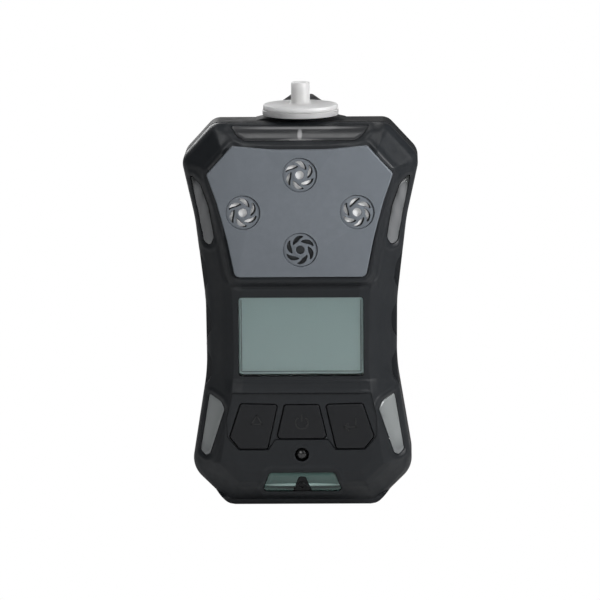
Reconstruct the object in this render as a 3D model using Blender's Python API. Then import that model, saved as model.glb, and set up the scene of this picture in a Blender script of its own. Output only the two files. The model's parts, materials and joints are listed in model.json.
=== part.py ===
"""A portable four-gas detector with a sampling pump, standing upright on its flat base.

Lengths below are in millimetres and become metres as each mesh is made. The front faces -Y, +X is to the right
and +Z is up. The origin is the centre of the flat base, and the halves of the housing meet near Y = -4.
"""

import math

import bmesh
import bpy
from mathutils import Matrix, Vector

MM = 0.001
GAP = 0.3  # clearance between pieces that touch
ARC_STEPS = 3  # straight pieces in each rounded corner
ROUND_STEPS = 20  # straight pieces round a full circle
WALL = 2.3

# The housing's outline seen from the front: x, z and corner radius, right half from the bottom up.
HOUSING = [(25, 0, 5), (37.6, 12.5, 9), (32.1, 46, 60), (32.3, 70, 60), (35.6, 98, 60),
           (40.1, 118, 6), (29.4, 129.5, 5)]
# How far each level of the housing is pulled in from that outline: y, inset.
FRONT_LEVELS = [(-4.6, 0), (-8, 0), (-11, 1.4), (-17.5, 7), (-20, 9.5)]
FRONT_CAVITY = [(-3, WALL), (-8, WALL), (-11, 3.4), (-16.4, 7.7)]
REAR_LEVELS = [(-3, 0), (10, 0), (14.2, 2.4), (16, 5.5)]
REAR_CAVITY = [(-4, WALL), (8.6, WALL), (12.4, 4.6), (13.7, 7)]
SEAL_Y = (-4.3, -3.3)

# The grey sensor cover: x, z and corner radius, right half from the top down.
PANEL = [(9, 122.1, 60), (22.5, 123.4, 1.2), (31.1, 114, 1.2), (27.9, 104.9, 40), (24.5, 92.2, 40),
         (21.9, 79.3, 2)]
PANEL_Y = (-20.8, -18.4)
GRILLE_RADIUS, GRILLE_BORE = 5.75, 1.45
GRILLE_CENTRES = {"top": (0, 113.7), "left": (-19.05, 101.15), "right": (19.05, 101.15), "bottom": (0, 88.5)}
GRILLE_TURN = {"top": 1, "left": 1, "right": -1, "bottom": -1}
BLADE_SLOTS = 6

# The alarm windows: x, z and corner radius, right half, or the right piece of a pair.
TOP_WINDOW = [(18.6, 124.6, 3), (21, 126.2, 1.5), (23.2, 128.7, 0.5)]
BOTTOM_WINDOW = [(10.9, 12.4, 1.2), (13.6, 5.2, 1.4)]
UPPER_WINDOW = [(36.8, 112.7, 0.5), (33.4, 109.8, 3), (30.8, 102.4, 12), (29, 92.2, 2), (30.3, 89.1, 1.2),
                (32.5, 90.2, 1.5), (36.4, 110.5, 3)]
LOWER_WINDOW = [(31.2, 38.2, 0.5), (27.2, 36.3, 1.2), (26, 34, 1.5), (31.1, 18.4, 1.5), (32.6, 17.4, 1),
                (34.4, 18.9, 1.2), (33.1, 26.5, 12)]
BOSS_LENS_TRIANGLE = [(3.1, 5.1, 0.4), (1, 10.9, 0.8)]

LENS_HALF_WIDTH, LENS_Z, LENS_CORNER = 20.9, (45.5, 72), 1
LENS_Y = (-19.1, -17.9)
LCD_Y = (-17.55, -15.5)
BACKLIGHT_Y = (-15.2, -13.2)
BOARD_Y = (-10, -8.4)

# The keys: x, z and corner radius. The outer key is the right-hand one.
OUTER_KEY = [(8.2, 35.7, 0.8), (20.5, 36, 0.8), (24.2, 24.8, 1.2), (20.9, 20.7, 1.2), (11.6, 20.7, 0.8)]
POWER_KEY = [(5.7, 35.6, 0.8), (8.4, 24.2, 1.2)]
KEY_LEVELS = [(-19.85, 0.5), (-19.4, 0), (-16.1, 0), (-16.1, -0.7), (-15, -0.7), (-15, 3.2), (-13.6, 3.2)]
# The shallow recess that the keys stand in, right half, and its floor.
KEYPAD = [(23.4, 39.8, 0.6), (25.4, 31, 3), (25.2, 24.6, 1.2), (21.3, 20.2, 1.2), (11.2, 20.2, 0.8),
          (8.9, 23.7, 0.8)]
KEYPAD_FLOOR = -19.35
SWITCH_Z, OUTER_KEY_X = 28.5, 16
PORT_Z, PORT_RADIUS = 18.7, 2.4
ALARM_LEDS = [(-21.5, 38.5), (21.5, 38.5), (-8, 10.8), (8, 10.8)]

SENSOR_RADIUS = 10
SENSOR_Y = (-13.4, -1.5)
SENSOR_BOARD_Y = (-1.2, 0.3)
INLET_Y = 3.5  # the axis of the sampling inlet and its filter
FILTER_RADIUS = 12.85
FILTER_Z = (131, 133, 134.7, 142.1)  # underside, seam, top of the disc, top of the tube
PUMP_X, PUMP_Y = 18, 7.6

HOUSING_SCREWS = {"lower_left": (-28, 15), "lower_right": (28, 15),
                  "upper_left": (-30, 116), "upper_right": (30, 116)}
CLIP_SCREWS = {"lower": 97, "upper": 116.5}
CLIP_PIN = (19.9, 108)  # y, z of the belt clip's pin
CLIP_LEVER = [(25.7, 136), (26.9, 136), (26.6, 127), (23.6, 109), (22.7, 77), (19.8, 66.8), (17.6, 63.6),
              (16.3, 63.6), (16.3, 65), (18.7, 68), (21.5, 78), (22, 103.6)]
LEVER_OUTLINE = [(6.2, 63, 2.5), (8.3, 92, 20), (8.3, 132, 1.5), (3.6, 135.3, 1.2)]
SCALLOPS = [(37.6, 46.7), (37.8, 62.9), (38.9, 79.6)]  # x and z of each finger scallop's centre, right side
SCALLOP_RADIUS = 7.5


def make_material(name, colour, roughness, metallic=0.0, transmission=0.0):
    material = bpy.data.materials.new(name)
    material.use_nodes = True
    shader = material.node_tree.nodes["Principled BSDF"]
    shader.inputs["Base Color"].default_value = (*colour, 1)
    shader.inputs["Roughness"].default_value = roughness
    shader.inputs["Metallic"].default_value = metallic
    shader.inputs["Transmission Weight"].default_value = transmission
    material.diffuse_color = (*colour, 1)
    return material


# ---- outlines ----

def mirrored(half):
    """A closed outline from its right half, listed from one end to the other."""
    return half + [(-x, z, r) for x, z, r in reversed(half)]


def flipped(corners):
    """The left-hand copy of an outline."""
    return [(-x, z, r) for x, z, r in reversed(corners)]


def inset(corners, distance):
    """The outline with every side moved inwards by the distance, or outwards if it is negative."""
    area = sum(a[0] * b[1] - b[0] * a[1] for a, b in zip(corners, corners[1:] + corners[:1]))
    inward = distance if area > 0 else -distance
    moved = []
    for i, (x, z, radius) in enumerate(corners):
        before, after = corners[i - 1], corners[(i + 1) % len(corners)]
        first = Vector((x - before[0], z - before[1])).normalized()
        second = Vector((after[0] - x, after[1] - z)).normalized()
        normal = Vector((-first.y - second.y, first.x + second.x)).normalized()
        reach = inward / max(0.2, normal.dot(Vector((-first.y, first.x))))
        convex = (first.x * second.y - first.y * second.x) * area > 0
        moved.append((x + normal.x * reach, z + normal.y * reach,
                      max(0.3, radius - distance if convex else radius + distance)))
    return moved


def rounded(corners, steps=ARC_STEPS):
    """Points along the outline, with an arc at each corner no longer than its sides allow."""
    points = []
    for i, (x, z, radius) in enumerate(corners):
        here = Vector((x, z))
        before = Vector(corners[i - 1][:2]) - here
        after = Vector(corners[(i + 1) % len(corners)][:2]) - here
        half_angle = before.angle(after) / 2
        reach = min(radius / math.tan(half_angle), 0.48 * before.length, 0.48 * after.length)
        radius = reach * math.tan(half_angle)
        middle = here + (before.normalized() + after.normalized()).normalized() * radius / math.sin(half_angle)
        start = here + before.normalized() * reach - middle
        end = here + after.normalized() * reach - middle
        sweep = start.angle_signed(end)
        for step in range(steps + 1):
            turned = start.copy()
            turned.rotate(Matrix.Rotation(-sweep * step / steps, 2))
            points.append(tuple(middle + turned))
    return points


def circle(radius, x=0.0, z=0.0, steps=ROUND_STEPS):
    return [(x + radius * math.cos(2 * math.pi * i / steps), z + radius * math.sin(2 * math.pi * i / steps))
            for i in range(steps)]


# ---- solids ----

def make_solid(name, points, faces, material, pivot=(0, 0, 0)):
    """A closed mesh object from points in millimetres, with its origin at the pivot."""
    mesh = bpy.data.meshes.new(name)
    mesh.from_pydata([tuple((p[i] - pivot[i]) * MM for i in range(3)) for p in points], [], faces)
    work = bmesh.new()
    work.from_mesh(mesh)
    bmesh.ops.recalc_face_normals(work, faces=work.faces)
    work.to_mesh(mesh)
    work.free()
    mesh.materials.append(material)
    made = bpy.data.objects.new(name, mesh)
    made.location = [v * MM for v in pivot]
    bpy.context.scene.collection.objects.link(made)
    return made


def skin(name, rings, material, pivot=(0, 0, 0), ends=True):
    """A solid through rings of points with the same count, capped at both ends or joined end to end."""
    count = len(rings[0])
    points = [p for ring in rings for p in ring]
    faces = []
    for row in range(len(rings) - 1 if ends else len(rings)):
        here, there = row * count, (row + 1) % len(rings) * count
        for i in range(count):
            following = (i + 1) % count
            faces.append((here + i, here + following, there + following, there + i))
    if ends:
        faces += [tuple(range(count)), tuple(range(len(points) - count, len(points)))]
    return make_solid(name, points, faces, material, pivot)


def loft(name, corners, levels, material, pivot=(0, 0, 0)):
    """The outline drawn along Y, pulled in by the given amount at each level."""
    rings = [[(x, y, z) for x, z in rounded(inset(corners, amount) if amount else corners)]
             for y, amount in levels]
    return skin(name, rings, material, pivot)


def prism(name, corners, y_range, material, pivot=(0, 0, 0)):
    return loft(name, corners, [(y_range[0], 0), (y_range[1], 0)], material, pivot)


def disc(name, radius, y_range, x, z, material, pivot=(0, 0, 0), steps=ROUND_STEPS):
    rings = [[(px, y, pz) for px, pz in circle(radius, x, z, steps)] for y in y_range]
    return skin(name, rings, material, pivot)


def block(name, x_range, y_range, z_range, material, corner=0.6, pivot=(0, 0, 0)):
    x0, x1 = x_range
    z0, z1 = z_range
    corners = [(x0, z0, corner), (x1, z0, corner), (x1, z1, corner), (x0, z1, corner)]
    return prism(name, corners, y_range, material, pivot)


def turned(name, profile, place, axis, material, pivot=(0, 0, 0), steps=ROUND_STEPS, bored=False):
    """A round solid from (radius, height) points about an axis through place: a closed ring if it is bored."""
    across = {"X": (1, 2, 0), "Y": (0, 2, 1), "Z": (0, 1, 2)}[axis]
    rings = []
    for radius, height in profile:
        ring = []
        for u, v in circle(radius, steps=steps):
            point = list(place)
            for part, amount in zip(across, (u, v, height)):
                point[part] += amount
            ring.append(tuple(point))
        rings.append(ring)
    return skin(name, rings, material, pivot, ends=not bored)


def rod(name, radius, start, end, material, pivot=(0, 0, 0), steps=16):
    """A plain round bar between two points."""
    along = Vector(end) - Vector(start)
    turn = along.to_track_quat("Z", "Y").to_matrix()
    rings = [[tuple(Vector(base) + turn @ Vector((x, y, 0))) for x, y in circle(radius, steps=steps)]
             for base in (start, end)]
    return skin(name, rings, material, pivot)


def sweep(name, path, radius, bore, material, steps=10):
    """A round bar along a path of points, hollow if it has a bore."""
    path = [Vector(p) for p in path]
    frames = []
    side = Vector((0, 0, 1)).cross(path[1] - path[0])
    side = (side if side.length > 0.01 else Vector((1, 0, 0))).normalized()
    for i, point in enumerate(path):
        along = (path[min(i + 1, len(path) - 1)] - path[max(i - 1, 0)]).normalized()
        side = (side - along * side.dot(along)).normalized()
        frames.append((point, side, along.cross(side)))
    outer = [[tuple(p + u * a + v * b) for a, b in circle(radius, steps=steps)] for p, u, v in frames]
    if not bore:
        return skin(name, outer, material)
    inner = [[tuple(p + u * a + v * b) for a, b in circle(bore, steps=steps)] for p, u, v in frames]
    return skin(name, outer + inner[::-1], material, ends=False)


def bend(points, radius=4.0, steps=3):
    """A path through the points with each corner rounded."""
    path = [points[0]]
    for before, here, after in zip(points, points[1:], points[2:]):
        back = (Vector(before) - Vector(here)).normalized() * radius
        on = (Vector(after) - Vector(here)).normalized() * radius
        for step in range(steps + 1):
            t = step / steps
            path.append(tuple(Vector(here) + back * (1 - t) ** 2 + on * t ** 2))
    return path + [points[-1]]


def combine(target, other, operation):
    """Cuts the other solid from the target, joins it on, or keeps what they share; the other isn't shown."""
    modifier = target.modifiers.new(other.name, "BOOLEAN")
    modifier.operation = operation
    modifier.solver = "EXACT"
    modifier.object = other
    other.hide_render = True
    other.display_type = "WIRE"


def cut(target, *others):
    for other in others:
        combine(target, other, "DIFFERENCE")


def join(target, *others):
    for other in others:
        combine(target, other, "UNION")


# ---- sub-parts ----

def window_shapes():
    """Each alarm window's outline by name."""
    return {
        "window_top": mirrored(TOP_WINDOW),
        "window_bottom": mirrored(BOTTOM_WINDOW),
        "window_upper_right": UPPER_WINDOW, "window_upper_left": flipped(UPPER_WINDOW),
        "window_lower_right": LOWER_WINDOW, "window_lower_left": flipped(LOWER_WINDOW),
    }


def key_shapes():
    return {"key_left": flipped(OUTER_KEY), "key_power": mirrored(POWER_KEY), "key_right": OUTER_KEY}


def lens_outline(margin=0.0):
    half, low, high = LENS_HALF_WIDTH + margin, LENS_Z[0] - margin, LENS_Z[1] + margin
    return mirrored([(half, low, LENS_CORNER), (half, high, LENS_CORNER)])


def build_front_cover(rubber, cavity):
    cover = loft("front_cover", mirrored(HOUSING), FRONT_LEVELS, rubber)
    cut(cover, cavity)
    for name, (x, z) in HOUSING_SCREWS.items():
        join(cover, disc("boss_" + name, 3, (-15, -4.6), x, z, rubber, steps=16))
        cut(cover, disc("pilot_" + name, 1.4, (-13, -3), x, z, rubber, steps=16))
    cut(cover, prism("cut_panel", inset(mirrored(PANEL), -GAP), (-22, PANEL_Y[1] + GAP), rubber))
    for place, (x, z) in GRILLE_CENTRES.items():
        cut(cover, disc("cut_gas_" + place, 6.1, (-19, -15), x, z, rubber))
    cut(cover, prism("cut_lens", lens_outline(GAP), (-22, LENS_Y[1] + GAP), rubber),
        prism("cut_view", lens_outline(-0.3), (-19, -15), rubber),
        prism("cut_keypad", mirrored(KEYPAD), (-22, KEYPAD_FLOOR), rubber),
        disc("cut_port", PORT_RADIUS, (-22, -15), 0, PORT_Z, rubber, steps=20))
    for name, corners in key_shapes().items():
        cut(cover, prism("cut_" + name, inset(corners, -GAP), (-22, -15), rubber))
    for name, corners in window_shapes().items():
        cut(cover, prism("cut_" + name, inset(corners, -GAP), (-22, -7), rubber))
    for side in (-1, 1):
        for x, z in SCALLOPS:
            cut(cover, disc("cut_scallop", SCALLOP_RADIUS, (-22, -9.6), side * x, z, rubber, steps=24))
    return cover


def build_rear_cover(plastic):
    cover = loft("rear_cover", mirrored(HOUSING), REAR_LEVELS, plastic)
    cut(cover, loft("rear_cavity", mirrored(HOUSING), REAR_CAVITY, plastic))
    for name, (x, z) in HOUSING_SCREWS.items():
        join(cover, disc("post_" + name, 4.2, (-2.9, 14), x, z, plastic, steps=16))
        cut(cover, disc("shank_hole_" + name, 1.6, (-4, 15), x, z, plastic, steps=16),
            disc("head_hole_" + name, 2.9, (13.4, 18), x, z, plastic, steps=16))
    for name, z in CLIP_SCREWS.items():
        cut(cover, disc("clip_hole_" + name, 1.5, (12, 18), 0, z, plastic, steps=16))
    cut(cover, turned("cut_inlet", [(4.6, 124), (4.6, 132)], (0, INLET_Y, 0), "Z", plastic, steps=24))
    cut(cover, block("cut_contacts", (-9.3, 9.3), (12, 18), (15.7, 22.3), plastic))
    return cover


def build_seal(rubber):
    outer = [[(x, y, z) for x, z in rounded(inset(mirrored(HOUSING), 0.6))] for y in SEAL_Y]
    inner = [[(x, y, z) for x, z in rounded(inset(mirrored(HOUSING), 2.2))] for y in reversed(SEAL_Y)]
    return skin("housing_seal", outer + inner, rubber, ends=False)


def blade_slot(name, centre, turn, index, material):
    """One swept slot of a grille, from the hub out to the rim."""
    x, z = centre
    base = math.radians(60 * index + (15.5 if turn > 0 else 48))
    rows = []
    for side in (-1, 1):
        row = []
        for step in range(4):
            share = step / 3
            radius = 2.65 + 2.2 * share
            half = math.radians(15 - 3 * share)
            angle = base + turn * math.radians(45 * (share - 0.5)) + side * half
            row.append((x + radius * math.cos(angle), z + radius * math.sin(angle)))
        rows.append(row)
    ring = rows[0] + rows[1][::-1]
    return skin(name, [[(px, y, pz) for px, pz in ring] for y in (-22, -17)], material)


def build_sensor_cover(plastic):
    """The grey panel, with the four swirled grilles sunk into its face and a pocket behind each."""
    cover = prism("sensor_cover", mirrored(PANEL), PANEL_Y, plastic)
    for place, centre in GRILLE_CENTRES.items():
        profile = [(GRILLE_RADIUS, -22), (GRILLE_RADIUS, -20.2), (GRILLE_RADIUS - 0.3, -20.2),
                   (GRILLE_RADIUS - 0.3, -22)]
        cut(cover, turned("groove_" + place, profile, (centre[0], 0, centre[1]), "Y", plastic, bored=True),
            disc("hub_" + place, GRILLE_BORE, (-22, -17), *centre, plastic, steps=16),
            disc("pocket_" + place, 6, (-19.5, -16), *centre, plastic, steps=24))
        for index in range(BLADE_SLOTS):
            cut(cover, blade_slot(f"slot_{place}_{index}", centre, GRILLE_TURN[place], index, plastic))
    return cover


def build_windows(lens, cavity):
    for name, corners in window_shapes().items():
        window = prism(name, corners, (-21, -7.5), lens)
        combine(window, loft("form_" + name, mirrored(HOUSING), FRONT_LEVELS, lens), "INTERSECT")
        cut(window, cavity)
        if name == "window_bottom":
            cut(window, prism("cut_triangle", inset(mirrored(BOSS_LENS_TRIANGLE), -GAP), (-22, -7), lens))


def build_lens_triangle(plastic, cavity):
    """The small black boss in the middle of the bottom window."""
    boss = prism("window_bottom_boss", mirrored(BOSS_LENS_TRIANGLE), (-19, -7.5), plastic)
    combine(boss, loft("form_boss", mirrored(HOUSING), FRONT_LEVELS, plastic), "INTERSECT")
    cut(boss, cavity)


def build_display(lens, glass, plastic):
    prism("display_lens", lens_outline(), LENS_Y, lens)
    prism("lcd_panel", lens_outline(-0.6), LCD_Y, glass)
    prism("backlight", lens_outline(-0.6), BACKLIGHT_Y, plastic)


def build_keys(rubber, switch_plastic):
    """Three keys with a flange behind the cover and a stem over each switch."""
    centres = {"key_left": -OUTER_KEY_X, "key_power": 0, "key_right": OUTER_KEY_X}
    for name, corners in key_shapes().items():
        x = centres[name]
        loft(name, corners, KEY_LEVELS, rubber, pivot=(x, -18, SWITCH_Z))
        switch = block(name.replace("key", "switch"), (x - 3, x + 3), (-11.6, BOARD_Y[0] - GAP),
                       (SWITCH_Z - 3, SWITCH_Z + 3), switch_plastic)
        join(switch, disc("plunger_" + name, 1.6, (-12.5, -11), x, SWITCH_Z, switch_plastic, steps=16))


def build_buzzer(plastic, black):
    disc("buzzer", 4.4, (-16, BOARD_Y[0] - GAP), 0, PORT_Z, plastic)
    profile = [(0.4, -19.5), (1.3, -19.2), (PORT_RADIUS - GAP, -18.2), (PORT_RADIUS - GAP, -16.8)]
    turned("buzzer_port_dome", profile, (0, 0, PORT_Z), "Y", black, steps=20)


def build_sensors(white, rubber, metals, board):
    """Dust membranes, gasket, the four gas sensors and the board that they plug into."""
    gasket = prism("sensor_gasket", inset(mirrored(PANEL), 3), (-16, -14.6), rubber)
    for place, (x, z) in GRILLE_CENTRES.items():
        disc("membrane_" + place, 5.8, (-19.1, -18.6), x, z, white)
        cut(gasket, disc("gasket_hole_" + place, 6.1, (-17, -13), x, z, rubber))
        profile = [(5.8, -15.8), (5.8, SENSOR_Y[0]), (SENSOR_RADIUS, SENSOR_Y[0]), (SENSOR_RADIUS, SENSOR_Y[1])]
        turned("sensor_" + place, profile, (x, 0, z), "Y", metals[place])
    cut(gasket, disc("gasket_feed", 1.3, (-17, -13), 22, 117.2, rubber, steps=12))
    outline = mirrored([(12, 124, 1), (12, 113.5, 1), (27, 113.5, 1.5), (27, 80, 2)])
    prism("sensor_board", outline, SENSOR_BOARD_Y, board)


def build_boards(board, battery):
    """The main board with its alarm lights soldered on, and the battery behind it."""
    main_board = block("main_board", (-24, 24), BOARD_Y, (9, 75), board, corner=2)
    for number, (x, z) in enumerate(ALARM_LEDS):
        join(main_board, block(f"led_{number}", (x - 1.6, x + 1.6), (BOARD_Y[0] - 1.4, BOARD_Y[0] + 0.4),
                               (z - 1, z + 1), board, corner=0.2))
    block("battery_pack", (-22, 22), (-7.8, 8.4), (20, 74), battery, corner=3)


def build_vibrator(steel, tungsten):
    """The vibration motor below the battery, and the off-centre weight on its shaft."""
    rod("vibration_motor", 3, (-16, 0, 13), (-5, 0, 13), steel, steps=20)
    half_disc = [(3 * math.cos(a), 3 * math.sin(a)) for a in
                 [math.pi + math.pi * i / 10 for i in range(11)]] + [(0.9, 0.8), (-0.9, 0.8)]
    rings = [[(x, a, 13 + b) for a, b in half_disc] for x in (-4.6, -1.2)]
    skin("vibration_weight", rings, tungsten, pivot=(-2.9, 0, 13))


def build_inlet(plastic, rubber):
    """The socket in the top of the housing that the filter pushes into, and its ring seal."""
    profile = [(1, 119.6), (1.6, 119.6), (1.6, 124.9), (5.8, 124.9), (5.8, 126.3), (4.2, 126.3),
               (4.2, 129.9), (3.25, 129.9), (3.25, 126.2), (1, 126.2)]
    turned("inlet_socket", profile, (0, INLET_Y, 0), "Z", plastic, bored=True)
    ring = [(3.7 + 0.4 * math.cos(a), 130.5 + 0.4 * math.sin(a)) for a in
            [math.pi * i / 4 for i in range(8)]]
    turned("inlet_ring_seal", ring, (0, INLET_Y, 0), "Z", rubber, bored=True)


def build_filter(white, paper):
    """The clip-on hydrophobic filter: lower half, membrane, and upper half with the hose tube."""
    under, seam, top, tube = FILTER_Z
    place, pivot = (0, INLET_Y, 0), (0, INLET_Y, under)
    base = [(1.6, 126.6), (2.95, 126.6), (2.95, under), (FILTER_RADIUS - 0.6, under),
            (FILTER_RADIUS, under + 0.5), (FILTER_RADIUS, seam - 0.1), (FILTER_RADIUS - 1.6, seam - 0.1),
            (FILTER_RADIUS - 1.6, seam - 0.8), (1.6, seam - 0.8)]
    turned("filter_base", base, place, "Z", white, pivot, bored=True)
    sheet = [(FILTER_RADIUS - 1.9, seam - 0.45), (FILTER_RADIUS - 1.9, seam - 0.15)]
    turned("filter_membrane", sheet, place, "Z", paper, pivot)
    cap = [(2.1, seam + 0.05), (FILTER_RADIUS - 0.25, seam + 0.05), (FILTER_RADIUS - 0.25, top - 0.3),
           (FILTER_RADIUS - 0.6, top), (3.9, top), (3.3, top + 0.7), (3.15, tube - 0.3), (2.9, tube),
           (2.1, tube)]
    turned("filter_cap", cap, place, "Z", white, pivot, bored=True)


def build_pump(plastic, steel, tube):
    """Pump head, motor and the off-centre wheel between them, with the two gas tubes."""
    head = block("pump_head", (PUMP_X - 8, PUMP_X + 8), (PUMP_Y - 5.2, PUMP_Y + 5.2), (101, 111), plastic)
    for side in (-1, 1):
        port_x = PUMP_X + 4 * side
        join(head, rod(f"port_{side}", 1, (port_x, PUMP_Y, 110), (port_x, PUMP_Y, 114.4), plastic, steps=12))
    rod("pump_motor", 4.9, (PUMP_X, PUMP_Y, 84), (PUMP_X, PUMP_Y, 97.6), steel, steps=24)
    rod("pump_eccentric", 3.6, (PUMP_X + 0.7, PUMP_Y, 98), (PUMP_X + 0.7, PUMP_Y, 100.6), steel,
        pivot=(PUMP_X, PUMP_Y, 99.3), steps=20)
    sweep("inlet_tube", bend([(0, INLET_Y, 124.5), (0, INLET_Y, 117.2), (PUMP_X - 4, PUMP_Y, 117.2),
                              (PUMP_X - 4, PUMP_Y, 111.4)], 2.8), 2.5, 1.9, tube)
    sweep("outlet_tube", bend([(PUMP_X + 4, PUMP_Y, 111.4), (PUMP_X + 4, PUMP_Y, 117.2),
                               (PUMP_X + 4, -14.2, 117.2)], 2.8), 2.1, 1.3, tube)


def build_contacts(plastic, gold):
    """The charging contacts let into the lower back of the housing."""
    tray = block("charge_contact_block", (-9, 9), (12.6, 15.6), (16, 22), plastic)
    for name, x in (("left", -4.5), ("right", 4.5)):
        cut(tray, disc("contact_hole_" + name, 2, (11, 18), x, 19, plastic, steps=16))
        disc("charge_contact_" + name, 1.7, (12.8, 15.9), x, 19, gold, steps=16)


def build_clip(painted, steel):
    """The sprung belt clip on the back: plate with two ears, lever, pin, spring and screws."""
    y, z = CLIP_PIN
    base = block("clip_base", (-10, 10), (16.3, 17.4), (90, 121), painted, corner=3)
    for side in (-1, 1):
        join(base, block(f"ear_{side}", (9.2 * side - 0.6, 9.2 * side + 0.6), (17, 23.2), (104, 112), painted,
                         corner=2))
    cut(base, rod("ear_bore", 1.3, (-12, y, z), (12, y, z), painted))
    for name, screw_z in CLIP_SCREWS.items():
        cut(base, disc("base_hole_" + name, 1.6, (15, 18.5), 0, screw_z, painted, steps=16))
        head = [(1.2, 12.8), (1.2, 17.6), (2.5, 17.6), (2.5, 18.6), (2, 19)]
        turned("clip_screw_" + name, head, (0, 0, screw_z), "Y", steel, steps=16)
    lever = skin("clip_lever", [[(x, py, pz) for py, pz in CLIP_LEVER] for x in (-9, 9)], painted,
                 pivot=(0, y, z))
    for side in (-1, 1):
        join(lever, rod(f"lever_hub_{side}", 2.4, (3.5 * side, y + 0.3, z), (7.8 * side, y + 0.3, z), painted,
                        steps=20))
    cut(lever, rod("lever_bore", 1.3, (-9.5, y, z), (9.5, y, z), painted))
    combine(lever, prism("lever_outline", mirrored(LEVER_OUTLINE), (10, 30), painted), "INTERSECT")
    rod("clip_pin", 1, (-10.4, y, z), (10.4, y, z), steel, pivot=(0, y, z))
    coil = []
    for step in range(28):
        angle = math.radians(40 * step)
        coil.append((-2.6 + 5.2 * step / 27, y + 1.6 * math.sin(angle), z - 1.6 * math.cos(angle)))
    sweep("clip_spring", coil, 0.3, 0, steel, steps=6)


def build_housing_screws(steel):
    for name, (x, z) in HOUSING_SCREWS.items():
        profile = [(1.1, -12), (1.1, 13.7), (2.6, 13.7), (2.6, 15)]
        turned("housing_screw_" + name, profile, (x, 0, z), "Y", steel, steps=16)


def main():
    for leftover in list(bpy.data.objects):
        bpy.data.objects.remove(leftover)
    rubber = make_material("armour_rubber", (0.016, 0.018, 0.021), 0.6)
    black = make_material("black_plastic", (0.02, 0.02, 0.022), 0.45)
    grey = make_material("grey_plastic", (0.16, 0.18, 0.21), 0.5)
    key_rubber = make_material("key_rubber", (0.02, 0.022, 0.025), 0.65)
    window = make_material("window_plastic", (0.24, 0.26, 0.26), 0.25, transmission=0.4)
    display = make_material("display_plastic", (0.25, 0.33, 0.31), 0.15, transmission=0.3)
    white = make_material("white_plastic", (0.75, 0.75, 0.73), 0.4)
    paper = make_material("filter_cloth", (0.85, 0.85, 0.82), 0.8)
    steel = make_material("plated_steel", (0.55, 0.55, 0.56), 0.3, metallic=1)
    dark_steel = make_material("dark_steel", (0.05, 0.05, 0.053), 0.4, metallic=0.6)
    brass = make_material("gold_plate", (0.8, 0.6, 0.25), 0.3, metallic=1)
    green = make_material("board_green", (0.02, 0.14, 0.06), 0.5)
    blue = make_material("battery_wrap", (0.03, 0.08, 0.22), 0.45)
    tube = make_material("clear_tube", (0.7, 0.7, 0.66), 0.35)

    cavity = loft("front_cavity", mirrored(HOUSING), FRONT_CAVITY, rubber)
    build_front_cover(rubber, cavity)
    build_rear_cover(black)
    build_seal(key_rubber)
    build_sensor_cover(grey)
    build_windows(window, cavity)
    build_lens_triangle(black, cavity)
    build_display(display, display, white)
    build_keys(key_rubber, black)
    build_buzzer(black, black)
    build_sensors(paper, key_rubber, {place: white for place in GRILLE_CENTRES}, green)
    build_boards(green, blue)
    build_vibrator(steel, steel)
    build_inlet(black, key_rubber)
    build_filter(white, paper)
    build_pump(black, steel, tube)
    build_contacts(black, brass)
    build_clip(dark_steel, steel)
    build_housing_screws(steel)


main()
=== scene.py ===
"""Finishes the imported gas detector: fine meshes for the faceted ones, materials, studio and camera.

Shapes are drawn in millimetres, in the frame's own axes: the front faces -Y, +X is to the right and +Z is up.
"""

import json
import math

import bmesh
import bpy
import numpy as np
from mathutils import Matrix, Vector


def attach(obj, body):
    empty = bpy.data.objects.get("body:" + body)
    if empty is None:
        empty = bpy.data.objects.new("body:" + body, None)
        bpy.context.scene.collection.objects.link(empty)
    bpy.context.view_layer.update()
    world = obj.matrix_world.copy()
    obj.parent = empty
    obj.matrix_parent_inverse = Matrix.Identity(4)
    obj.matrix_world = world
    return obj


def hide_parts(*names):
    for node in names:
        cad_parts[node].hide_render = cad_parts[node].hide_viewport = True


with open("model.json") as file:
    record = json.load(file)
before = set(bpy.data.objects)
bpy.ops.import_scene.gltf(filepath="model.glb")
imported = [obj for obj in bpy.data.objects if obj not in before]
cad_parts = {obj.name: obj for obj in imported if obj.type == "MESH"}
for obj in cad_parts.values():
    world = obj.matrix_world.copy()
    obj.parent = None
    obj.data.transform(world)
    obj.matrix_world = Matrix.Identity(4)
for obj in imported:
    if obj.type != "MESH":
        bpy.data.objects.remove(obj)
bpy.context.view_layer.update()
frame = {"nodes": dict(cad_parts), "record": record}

MM = 0.001
GAP = 0.22  # visible clearance between pieces
KEY_GAP = 0.36
MERGE_DISTANCE = 2e-4  # points closer than this are taken as one
AHEAD_Y, INSIDE_Y = -26, -14  # levels in front of every piece, and inside the front cover's cavity
CORNER_STEPS = 10

# ---- measures: an outline's corners are x, z and radius, and a mirrored one lists its right half only ----

# housing and front cover
HOUSING = [(25, 0, 5), (37.6, 12.5, 9), (32.1, 46, 60), (32.3, 70, 60), (35.6, 98, 60),
           (40, 118, 6), (29.4, 129.5, 5)]
TALL = 129.5
FRONT_BACK_Y, REAR_FRONT_Y = -4.6, -3
# the front's rise from its edge inwards: distance in from the outline, height in front of Y = 0
FRONT_SLOPE = [(0, 8), (0.35, 9.4), (1.5, 11.2), (2.6, 12.3), (7.2, 17.3), (9.4, 19.2), (13, 19.9)]
FRONT_CAVITY = [(-3, 2.3), (-8, 2.3), (-11, 3.4), (-16.4, 7.7)]  # y and inset
SCALLOPS, SCALLOP_BACK_Y = (46.7, 62.9, 79.6), -7.2  # heights of the finger scallops, and where they stop
PANEL_SEAT_Y, LENS_SEAT_Y, WINDOW_SEAT_Y = -18.1, -17.75, -7  # floors of the front cover's recesses
SENSOR_HOLE_RADIUS = 6.1

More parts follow.
